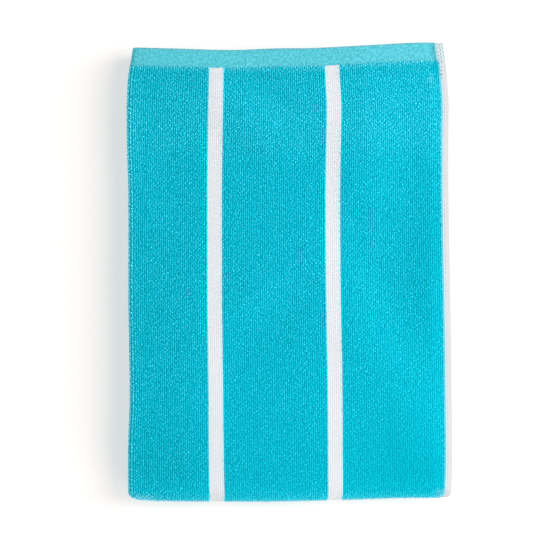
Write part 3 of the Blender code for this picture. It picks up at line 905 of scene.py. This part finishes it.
# =============================================================================== materials
class Nodes:
    """Short ways to add shader nodes to one material."""

    def __init__(self, material):
        material.use_nodes = True
        self.tree = material.node_tree
        self.surface = self.tree.nodes["Principled BSDF"]

    def add(self, kind, **values):
        """A new node of that kind, with those of its own values set."""
        node = self.tree.nodes.new(kind)
        for name, value in values.items():
            setattr(node, name, value)
        return node

    def link(self, value, socket):
        """Link one socket to another, or set it to a plain value."""
        if isinstance(value, bpy.types.NodeSocket):
            self.tree.links.new(value, socket)
        else:
            socket.default_value = value

    def math(self, operation, *values, clamp=False):
        """The outcome of one calculation with those values."""
        node = self.add("ShaderNodeMath", operation=operation, use_clamp=clamp)
        for value, socket in zip(values, node.inputs):
            self.link(value, socket)
        return node.outputs[0]

    def times(self, a, b):
        return self.math("MULTIPLY", a, b)

    def minus(self, a, b):
        return self.math("SUBTRACT", a, b)

    def scaled(self, value, factor, offset=0.0, clamp=False):
        """The value times a factor, plus an offset."""
        return self.math("MULTIPLY_ADD", value, factor, offset, clamp=clamp)

    def mix(self, share, a, b, blend="MIX"):
        """Colour a with that share of colour b in it."""
        node = self.add("ShaderNodeMix", data_type="RGBA", blend_type=blend)
        for value, socket in zip((share, a, b), (node.inputs[k] for k in (0, 6, 7))):
            self.link(value, socket)
        return node.outputs[2]

    def dimmed(self, colour, factor):
        """The colour with each of its parts times the factor."""
        grey = self.add("ShaderNodeCombineColor")
        for socket in grey.inputs:
            self.link(factor, socket)
        return self.mix(1.0, colour, grey.outputs[0], blend="MULTIPLY")

    def attribute(self, name):
        """One of the shades that make_piece gave to the mesh."""
        return self.add("ShaderNodeAttribute", attribute_name=name).outputs["Fac"]

    def place(self):
        """The place on the folded towel."""
        return self.add("ShaderNodeTexCoord").outputs["Object"]

    def parts(self, vector):
        """The x, y and z of a vector."""
        split = self.add("ShaderNodeSeparateXYZ")
        self.link(vector, split.inputs[0])
        return split.outputs

    def fading(self, value, near, far, curve="LINEAR"):
        """1 where value is under near, falling to 0 at far."""
        node = self.add("ShaderNodeMapRange", clamp=True, interpolation_type=curve)
        for number, socket in zip((value, near, far, 1.0, 0.0), node.inputs):
            self.link(number, socket)
        return node.outputs[0]

    def inside(self, value, half_width, soft):
        """1 where value is under half_width, falling to 0 over soft on either side of it."""
        return self.fading(value, half_width - soft, half_width + soft)

    def band(self, value, centre, reach):
        """1 where value is at the centre, falling smoothly to 0 at reach on either side of it."""
        away = self.math("ABSOLUTE", self.minus(value, centre))
        return self.fading(away, 0.0, reach, "SMOOTHSTEP")

    def noise(self, kind):
        """One of the noises below, from 0 to 1."""
        node = self.add("ShaderNodeTexNoise")
        self.link(self.place(), node.inputs["Vector"])
        for name, value in zip(("Scale", "Detail", "Roughness"), kind):
            node.inputs[name].default_value = value
        return node.outputs[0]


# Noises on the folded towel. scale is how many of their spots lie in a metre.
Noise = namedtuple("Noise", "scale detail rough")
HEM_MOTTLE = Noise(480.0, 3.0, 0.7)
WEAVE = Noise(1500.0, 3.0, 0.6)
YARN = Noise(800.0, 1.0, 0.5)
FIBRES = Noise(2600.0, 2.0, 0.6)
TWIST = Noise(2200.0, 1.0, 0.5)
PULL = Noise(160.0, 0.0, 0.5)
GROUND_RELIEF, FIBRE_RELIEF, TWIST_RELIEF = 0.00022, 0.00012, 0.0001  # in metres

# The hems. Places are from the cloth's edge, a pair is a place and how far it fades, and a
# mottled amount is how much of the mottle it takes and how much it has without.
PILE_FADE = 0.0003
HEM_EDGE = (0.0016, 0.0010)  # the folded edge
# Painted shade along the end hem's folded edge, and a little white there.
HEM_EDGE_SHADE, HEM_EDGE_WHITE = 0.12, 0.05
HEM_LIGHT, HEM_WHITE = (1.3, 0.35), (0.40, -0.18)  # mottled
HEM_BESIDE = (0.0038, 0.0050)  # next to the side hem, from the hem's inner edge
HEM_SHADE = 0.27  # painted shade: how much darker the end hem is there
HEM_BESIDE_WHITE = -0.05
HEM_LEFT = -HALF_WIDTH - 0.002  # where the end hem has the most painted light, from left to right
CORNER_WIDER = 0.0018  # how much wider the side hem is where it crosses the end hem
SIDE_HEM_FADE = (-0.0004, 0.0013)  # from its inner edge
# A painted highlight on the side hem next to the pile, from its inner edge.
SIDE_HEM_HIGHLIGHT = (-0.0008, 0.0016)
SIDE_HEM_HIGHLIGHT_SHARE = 0.8
SIDE_LINES, SIDE_LINES_START = 0.0031, 0.6  # how far apart they are
SIDE_LINES_LIGHT = (0.03, 0.98)

# The needle holes: how large they are, where the first one is and where they are pulled open.
HOLE = (0.00062, 0.00022)
FIRST_HOLE = 0.0020
HOLES_END = 0.0005  # how softly they end at the end hem
HOLES_OPEN = (0.0285, 0.0060)
HOLES_PULLED = (1.6, -0.55)  # by the noise, and without it

# The ground under the loops: painted shade between its ribs, and its weave, as amounts with a part
# that stays.
RIB_SHADE, GROUND_LIGHT = (0.10, -0.20), (0.24, 0.88)
RIB_HEIGHT = 0.8
STRIPE_FADE = 0.00012
STRIPE_GROUND = 0.05  # how much of the ribs' painted shade a white stripe's ground has

# The yarn of the loops.
YARN_FUZZ = 1.4  # how much the noise in a yarn's colour changes it
FUZZ_BEND = 1.0  # how much further it darkens than it lightens
FUZZ_FOLLOWS = 0.6  # how far that goes with the pile's unevenness
SHEEN_BY_LIGHT = 0.23  # painted sheen: how much whiter a lighter loop is
LIGHT_SHOWS = 0.9  # how much of the lightness goes into the colour
WHITE_FIBRES = 0.3  # how much of the fibres' relief the white loops have

# The sewing threads, with the colour of the pattern that each one has.
THREADS = {"thread_white": "selvedge", "thread_aqua": "hem", "thread_tinted": "dash"}
TWIST_LIGHT = (0.2, 0.9)  # how light a thread is by its twist, and without it


def opaque(rgb):
    """A colour with full alpha."""
    return (*rgb, 1.0)


def flat_place(nodes):
    """Sockets with the place in the flat towel: across and along, in metres."""
    return nodes.parts(nodes.add("ShaderNodeUVMap", uv_map="flat").outputs[0])[:2]


def from_edges(nodes, place, size):
    """Distance from the nearer of two edges: half the size less the distance from the middle."""
    return nodes.minus(size / 2, nodes.math("ABSOLUTE", nodes.minus(place, size / 2)))


def stripe_share(nodes, across, cloth, pattern, ribs):
    """1 in the given number of ribs of each stripe, counted from the middle of the flat towel."""
    pitch = pattern.stripe_pitch
    from_middle = nodes.minus(across, cloth.width / 2)
    in_pitch = nodes.math("ABSOLUTE", nodes.math("WRAP", from_middle, pitch / 2, -pitch / 2))
    return nodes.inside(in_pitch, ribs / 2 * pitch / pattern.ribs_in_pitch, STRIPE_FADE)


def cotton(nodes, colour, roughness, sheen, gloss=0.08):
    """Matt cotton of a colour: nearly no gloss, and a soft light edge from the fibres."""
    surface = nodes.surface.inputs
    nodes.link(colour, surface["Base Color"])
    surface["Roughness"].default_value = roughness
    surface["Specular IOR Level"].default_value = gloss
    surface["Sheen Weight"].default_value = sheen
    surface["Sheen Roughness"].default_value = 0.35
    surface["Sheen Tint"].default_value = (1.0, 1.0, 1.0, 1.0)


def bump(nodes, height, distance):
    """Relief for the surface from a height socket."""
    node = nodes.add("ShaderNodeBump")
    node.inputs["Strength"].default_value = 1.0
    node.inputs["Distance"].default_value = distance
    nodes.link(height, node.inputs["Height"])
    nodes.link(node.outputs[0], nodes.surface.inputs["Normal"])


def hem_colours(nodes, colour, place, cloth, pattern):
    """The colour with the end hems and side hems over it, and the share of hem there.

    place is (across, along). The hems' flat weave is mottled. The end hem is a little whiter
    along its folded edge, with painted shade there, has painted shade next to the side hem and
    painted light by the left fold. The side hem is wider where it crosses the end hem, and has a
    painted highlight, tinted by light thrown back from the pile, next to the pile and where it
    crosses the end hem.
    """
    across, along = place
    from_side = from_edges(nodes, across, cloth.width)
    from_end = from_edges(nodes, along, cloth.length)
    end_share = nodes.inside(from_end, cloth.end_hem - PILE_OVERHANG, PILE_FADE)
    mottle = nodes.noise(HEM_MOTTLE)
    edge = nodes.inside(from_end, *HEM_EDGE)
    beside = nodes.band(from_side, cloth.side_hem + HEM_BESIDE[0], HEM_BESIDE[1])
    left = nodes.band(nodes.parts(nodes.place())[0], HEM_LEFT, LEFT_REACH)
    light = nodes.scaled(left, LEFT_LIGHT, nodes.scaled(mottle, *HEM_LIGHT))
    light = nodes.scaled(beside, -HEM_SHADE, light)
    light = nodes.scaled(edge, -HEM_EDGE_SHADE, light)
    whiter = nodes.scaled(edge, HEM_EDGE_WHITE, nodes.scaled(mottle, *HEM_WHITE))
    whiter = nodes.scaled(beside, HEM_BESIDE_WHITE, whiter)
    hem = nodes.mix(whiter, nodes.dimmed(opaque(pattern.hem), light), opaque(pattern.white))
    inset, fade = SIDE_HEM_FADE
    reach = nodes.scaled(end_share, -CORNER_WIDER, from_side)
    side_share = nodes.inside(reach, cloth.side_hem + inset, fade)
    # Faint lines run down the side hem, where its turned-in edge and its fold lie.
    turns = nodes.scaled(from_side, 2 * np.pi / SIDE_LINES, SIDE_LINES_START)
    lines = nodes.scaled(nodes.math("SINE", turns), *SIDE_LINES_LIGHT)
    side = nodes.dimmed(opaque(pattern.selvedge), lines)
    inset, fade = SIDE_HEM_HIGHLIGHT
    highlight = nodes.band(from_side, cloth.side_hem + inset, fade)
    highlight = nodes.times(nodes.math("MAXIMUM", highlight, end_share), SIDE_HEM_HIGHLIGHT_SHARE)
    side = nodes.mix(highlight, side, opaque(pattern.selvedge_highlight))
    colour = nodes.mix(side_share, nodes.mix(end_share, colour, hem), side)
    return colour, nodes.math("MAXIMUM", end_share, side_share)


def needle_holes(nodes, place, cloth, stitching):
    """1 in the needle holes of the side hem, which show near the ends and then fade out.

    The holes are painted shade. The thread has pulled them open most just past the end hem, and
    then by slow noise.
    """
    across, along = place
    from_end = from_edges(nodes, along, cloth.length)
    from_row = nodes.minus(from_edges(nodes, across, cloth.width), stitching.hole_row)
    half_pitch = stitching.stitch_pitch / 2
    step = nodes.math("WRAP", nodes.minus(along, FIRST_HOLE), half_pitch, -half_pitch)
    squares = nodes.scaled(from_row, from_row, nodes.times(step, step))
    hole = nodes.inside(nodes.math("SQRT", squares), *HOLE)
    shown = nodes.inside(from_end, stitching.holes_show, stitching.holes_show / 2)
    on_hem = nodes.inside(from_end, cloth.end_hem, HOLES_END)
    pulled = nodes.scaled(nodes.noise(PULL), *HOLES_PULLED)
    pulled = nodes.math("ADD", pulled, nodes.band(from_end, *HOLES_OPEN), clamp=True)
    shown = nodes.times(nodes.times(shown, pulled), nodes.minus(1.0, on_hem))
    return nodes.times(hole, shown)


def ground_material(cloth, pattern, stitching):
    """The woven ground under the loops, the flat hems, and the needle holes of the side hem.

    Under the loops it has painted shade by their ribs: a cosine across the cloth, darkest between
    two ribs. The needle holes are painted shade.
    """
    material = bpy.data.materials.new("towel_ground")
    nodes = Nodes(material)
    place = flat_place(nodes)
    weave = nodes.noise(WEAVE)
    stripe = stripe_share(nodes, place[0], cloth, pattern, pattern.ribs_in_stripe)
    turns = 2 * np.pi * pattern.ribs_in_pitch / pattern.stripe_pitch
    rib = nodes.math("COSINE", nodes.scaled(place[0], turns, -turns * cloth.width / 2))
    light = nodes.scaled(rib, *RIB_SHADE)
    light = nodes.times(light, nodes.scaled(stripe, STRIPE_GROUND - 1.0, 1.0))
    colour = nodes.mix(stripe, opaque(pattern.turquoise), opaque(pattern.white))
    colour = nodes.dimmed(colour, nodes.math("ADD", light, 1.0))
    colour, hem = hem_colours(nodes, colour, place, cloth, pattern)
    hole = needle_holes(nodes, place, cloth, stitching)
    colour = nodes.mix(hole, colour, opaque(pattern.needle_hole))
    colour = nodes.dimmed(colour, nodes.scaled(weave, *GROUND_LIGHT))
    cotton(nodes, colour, roughness=0.9, sheen=0.12)
    ribs = nodes.times(nodes.times(rib, RIB_HEIGHT), nodes.minus(1.0, hem))
    bump(nodes, nodes.math("ADD", weave, ribs), GROUND_RELIEF)
    return material


def pile_material(cloth, pattern):
    """The loops: twisted cotton yarn. Each is as light as its shade, and a light one is whiter.

    The yarn's own unevenness is noise added to the shade, f - FUZZ_BEND f^2, which goes further
    where the pile is uneven. The shade carries painted light and shade, and the whiter light loops
    are a painted sheen. White loops differ less.
    """
    material = bpy.data.materials.new("towel_pile")
    nodes = Nodes(material)
    across = flat_place(nodes)[0]
    stripe = stripe_share(nodes, across, cloth, pattern, pattern.ribs_in_stripe)
    inner = stripe_share(nodes, across, cloth, pattern, pattern.ribs_in_stripe - 2)
    fuzz = nodes.scaled(nodes.noise(YARN), YARN_FUZZ, -YARN_FUZZ / 2)
    fuzz = nodes.times(fuzz, nodes.scaled(fuzz, -FUZZ_BEND, 1.0))
    follows = nodes.scaled(nodes.attribute("rough"), FUZZ_FOLLOWS, 1.0 - FUZZ_FOLLOWS)
    light = nodes.scaled(fuzz, follows, nodes.attribute("tone"))
    light = nodes.times(light, nodes.scaled(stripe, WHITE_EVENNESS - 1.0, 1.0))
    # The pale shade holds painted sheen at the folds and on the back, and pale wear; lighter loops
    # get more painted sheen.
    share = nodes.scaled(light, SHEEN_BY_LIGHT, nodes.attribute("pale"), clamp=True)
    colour = nodes.mix(share, opaque(pattern.turquoise), opaque(pattern.white))
    white = nodes.mix(inner, opaque(pattern.stripe_edge), opaque(pattern.white))
    colour = nodes.mix(stripe, colour, white)
    colour = nodes.dimmed(colour, nodes.scaled(light, LIGHT_SHOWS, 1.0))
    cotton(nodes, colour, roughness=0.95, sheen=0.02, gloss=0.02)
    relief = nodes.scaled(stripe, WHITE_FIBRES - 1.0, 1.0)
    bump(nodes, nodes.times(nodes.noise(FIBRES), relief), FIBRE_RELIEF)
    return material


def thread_material(name, pattern):
    """Smooth sewing thread of one colour, with a slight twist."""
    material = bpy.data.materials.new(name)
    nodes = Nodes(material)
    twist = nodes.noise(TWIST)
    colour = opaque(getattr(pattern, THREADS[name]))
    colour = nodes.dimmed(colour, nodes.scaled(twist, *TWIST_LIGHT))
    cotton(nodes, colour, roughness=0.7, sheen=0.1)
    bump(nodes, twist, TWIST_RELIEF)
    return material


def light_table(rgb, glow):
    """A plain pale floor that glows evenly, as a lit table for product pictures does."""
    material = bpy.data.materials.new("floor_white")
    surface = Nodes(material).surface.inputs
    surface["Base Color"].default_value = opaque(rgb)
    surface["Roughness"].default_value = 1.0
    surface["Specular IOR Level"].default_value = 0.0
    surface["Emission Color"].default_value = (1.0, 1.0, 1.0, 1.0)
    surface["Emission Strength"].default_value = glow
    return material


# =============================================================================== operators
# The soft lights: each one's power setting, its place and its size. All of them face the towel.
Lamp = namedtuple("Lamp", "name place size")
LAMPS = (
    Lamp("key_power", (1.52, 0.29, 1.23), (0.98, 2.4)),
    Lamp("side_fill", (-1.40, 0.0, 0.40), (0.6, 1.6)),
    Lamp("front_fill", (0.90, -1.15, 0.50), (1.2, 0.6)),
)


def thread_of(name, pattern):
    """The material of that sewing thread, made when it is first asked for."""
    return bpy.data.materials.get(name) or thread_material(name, pattern)


def folded_cloth(context):
    """The fold, worked out from the scene's settings."""
    return FoldedCloth(context.scene.towel_cloth)


class TOWEL_OT_cloth(bpy.types.Operator):
    """Make the towel's folded cloth with its flat hems"""

    bl_idname = "towel.cloth"
    bl_label = "Folded cloth"

    def execute(self, context):
        scene = context.scene
        cloth = folded_cloth(context)
        across = cloth.section.distance[:, None]
        along = cloth.strip.distance[None, :]
        both = np.array([cloth.at(across, along, side) for side in (-1, 1)])
        flat = np.stack(np.broadcast_arrays(across, along), axis=-1)
        material = ground_material(cloth, scene.towel_pattern, scene.towel_stitching)
        faces = cloth_faces(len(across), along.shape[1])
        piece = make_piece("towel_cloth", both, faces, np.array([flat, flat]), material)
        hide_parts("towel")
        return {"FINISHED"}


class TOWEL_OT_pile(bpy.types.Operator):
    """Make the loops that stand on the parts of the cloth that show"""

    bl_idname = "towel.pile"
    bl_label = "Pile"

    def execute(self, context):
        scene = context.scene
        cloth, pile, pattern = folded_cloth(context), scene.towel_pile, scene.towel_pattern
        material = pile_material(cloth, pattern)
        top = (cloth.end_hem - PILE_OVERHANG, cloth.front_wrap[0])
        edge = cloth.width - cloth.side_hem - PILE_INSET
        left, right = cloth.left_fold, cloth.right_fold
        third = (edge - left[1]) / 3
        full_length = (top[0], cloth.length - top[0])
        areas = {
            "pile_top_left": ((left[1], left[1] + third), top),
            "pile_top_middle": ((left[1] + third, left[1] + 2 * third), top),
            "pile_top_right": ((left[1] + 2 * third, edge), top),
            "pile_front": ((left[1], edge), cloth.front_wrap),
            "pile_back_fold": ((left[1], edge), cloth.back_fold),
            "pile_left_folds": (left, full_length),
            "pile_right_folds": (right, full_length),
        }
        for number, (name, (ribs, rows)) in enumerate(areas.items()):
            seed = pile.seed + 10 * number
            *shape, normals, shades = loops(cloth, pile, pattern, ribs, rows, seed)
            piece = make_piece(name, *shape, material, **shades)
            piece.data.normals_split_custom_set_from_vertices(normals.reshape(-1, 3))
        return {"FINISHED"}


class TOWEL_OT_stitching(bpy.types.Operator):
    """Make the rows of stitches along the hems"""

    bl_idname = "towel.stitching"
    bl_label = "Stitching"

    def execute(self, context):
        scene = context.scene
        cloth, sewing, pattern = folded_cloth(context), scene.towel_stitching, scene.towel_pattern
        pitch = sewing.stitch_pitch
        down = np.arange(pitch / 2, cloth.length, pitch)
        over = np.arange(cloth.side_hem + pitch / 2, cloth.width - cloth.side_hem, pitch)
        # Three columns of slanted, tinted stitches close each end of the side hem. The middle
        # column begins half a stitch further along.
        first = np.arange(sewing.dash_pitch / 2, cloth.end_hem, sewing.dash_pitch)
        later = sewing.dash_pitch / 2 * (np.arange(len(DASH_COLUMNS)) % 2)
        columns, first = np.meshgrid(cloth.width - np.array(DASH_COLUMNS), first)
        first = (first + later).ravel()
        dashes = (np.tile(columns.ravel(), 2), np.concatenate([first, cloth.length - first]))
        plain = (sewing.thread, sewing.stitch_length)
        dash = (sewing.dash_thread, sewing.dash_length)
        side = (cloth.width - sewing.side_row, down)
        upper, lower = (over, sewing.end_row), (over, cloth.length - sewing.end_row)
        rows = {
            "stitches_side": (side, 90.0, plain, "thread_white"),
            "stitches_upper": (upper, 0.0, plain, "thread_aqua"),
            "stitches_lower": (lower, 0.0, plain, "thread_aqua"),
            "stitches_corner": (dashes, DASH_HEADING, dash, "thread_tinted"),
        }
        for name, (places, heading, size, thread) in rows.items():
            shape = stitches(cloth, *places, heading, *size)
            make_piece(name, *shape, thread_of(thread, pattern))
        return {"FINISHED"}


class TOWEL_OT_stage(bpy.types.Operator):
    """Make the plain floor, the soft lights and the camera"""

    bl_idname = "towel.stage"
    bl_label = "Stage"

    def execute(self, context):
        scene = context.scene
        stage = scene.towel_stage
        half = stage.floor_size / 2
        corners = [(-half, -half, 0), (half, -half, 0), (half, half, 0), (-half, half, 0)]
        mesh = bpy.data.meshes.new("floor")
        mesh.from_pydata(corners, [], [(0, 1, 2, 3)])
        mesh.materials.append(light_table(stage.floor, stage.floor_glow))
        floor = bpy.data.objects.new("floor", mesh)
        scene.collection.objects.link(floor)
        for name, place, size in LAMPS:
            light = bpy.data.lights.new(name, "AREA")
            light.energy, light.shape = getattr(stage, name), "RECTANGLE"
            light.size, light.size_y = size
            lamp = bpy.data.objects.new(name, light)
            lamp.location = place
            lamp.rotation_euler = Vector(place).to_track_quat("Z", "Y").to_euler()
            lamp.visible_camera = False
            scene.collection.objects.link(lamp)
        world = bpy.data.worlds.new("sky")
        world.use_nodes = True
        background = world.node_tree.nodes["Background"].inputs
        background[0].default_value = (1.0, 1.0, 1.0, 1.0)
        background[1].default_value = stage.sky
        scene.world = world
        lens = bpy.data.cameras.new("camera")
        top = SOLID_BOX[1].z
        lens.angle = 2 * np.arctan(stage.view_width / 2 / (stage.camera_height - top))
        camera = bpy.data.objects.new("camera", lens)
        camera.location = (stage.camera_x, stage.camera_y, stage.camera_height)
        scene.collection.objects.link(camera)
        scene.camera = camera
        scene.view_settings.view_transform = "Standard"
        return {"FINISHED"}


class TOWEL_PT_panel(bpy.types.Panel):
    """Lists the towel's pieces and settings"""

    bl_idname = "TOWEL_PT_panel"
    bl_label = "Beach towel"
    bl_space_type = "VIEW_3D"
    bl_region_type = "UI"
    bl_category = "Towel"

    def draw(self, context):
        for group, name in SETTINGS.items():
            box = self.layout.box()
            box.label(text=group.__doc__)
            for setting in group.__annotations__:
                box.prop(getattr(context.scene, name), setting)
        for operator in OPERATORS:
            self.layout.operator(operator.bl_idname)


SETTINGS = {
    TowelCloth: "towel_cloth",
    TowelPattern: "towel_pattern",
    TowelPile: "towel_pile",
    TowelStitching: "towel_stitching",
    TowelStage: "towel_stage",
}
OPERATORS = (TOWEL_OT_cloth, TOWEL_OT_pile, TOWEL_OT_stitching, TOWEL_OT_stage)


def register():
    for group, name in SETTINGS.items():
        bpy.utils.register_class(group)
        setattr(bpy.types.Scene, name, bpy.props.PointerProperty(type=group))
    for shown in (*OPERATORS, TOWEL_PT_panel):
        bpy.utils.register_class(shown)


def unregister():
    for shown in (TOWEL_PT_panel, *OPERATORS[::-1]):
        bpy.utils.unregister_class(shown)
    for group, name in SETTINGS.items():
        delattr(bpy.types.Scene, name)
        bpy.utils.unregister_class(group)


def main():
    register()
    bpy.ops.towel.cloth()
    bpy.ops.towel.pile()
    bpy.ops.towel.stitching()
    bpy.ops.towel.stage()


if __name__ == "__main__":
    main()
